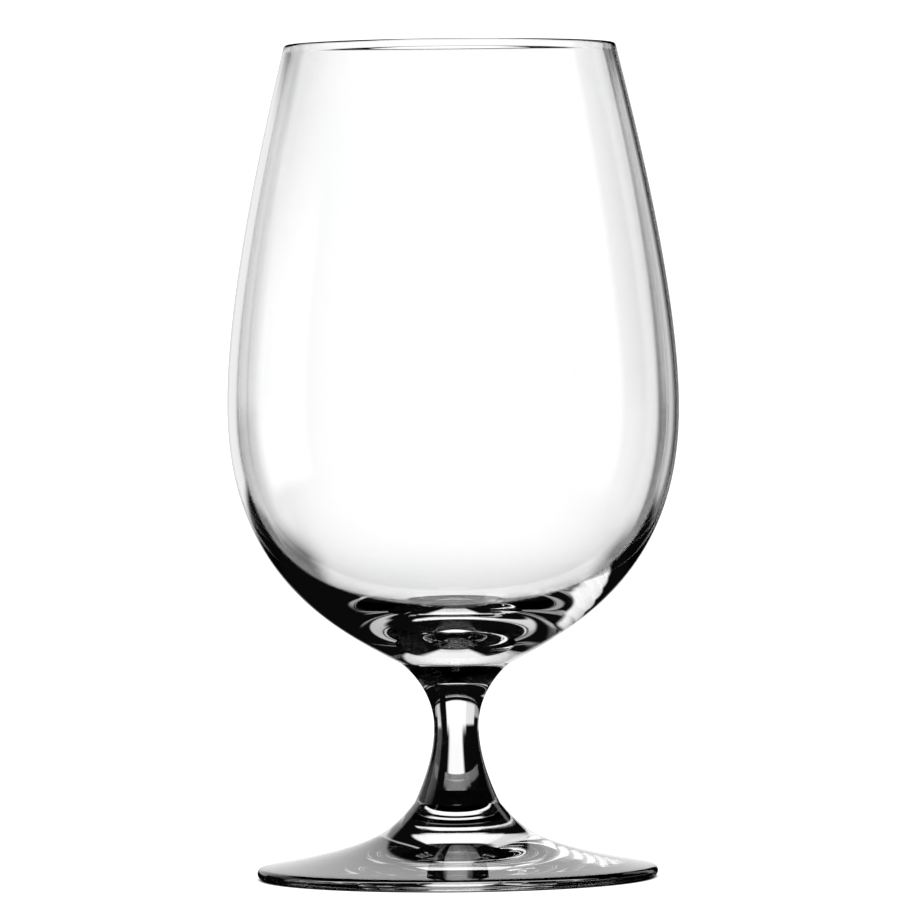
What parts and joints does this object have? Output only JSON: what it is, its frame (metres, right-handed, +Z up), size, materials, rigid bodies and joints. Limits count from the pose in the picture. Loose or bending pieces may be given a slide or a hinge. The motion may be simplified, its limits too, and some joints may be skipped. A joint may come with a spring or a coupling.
{
  "type": "water goblet",
  "caption": "Stemmed water goblet in clear glass: a tall round-bellied bowl that narrows to a thin rim, on a short waisted stem and a wide flared foot.",
  "frame": {"origin": "middle of the foot's resting ring, on the table", "axes": "+Z up along the goblet's axis of revolution, from the foot to the rim"},
  "size_m": [0.0868, 0.0868, 0.16],
  "materials": {
    "clear_crystal": "fire-polished clear crystal, colourless, with no print or cut"
  },
  "bodies": {
    "root": {"bowl": "clear_crystal", "stem": "clear_crystal", "foot": "clear_crystal"}
  },
  "joints": []
}
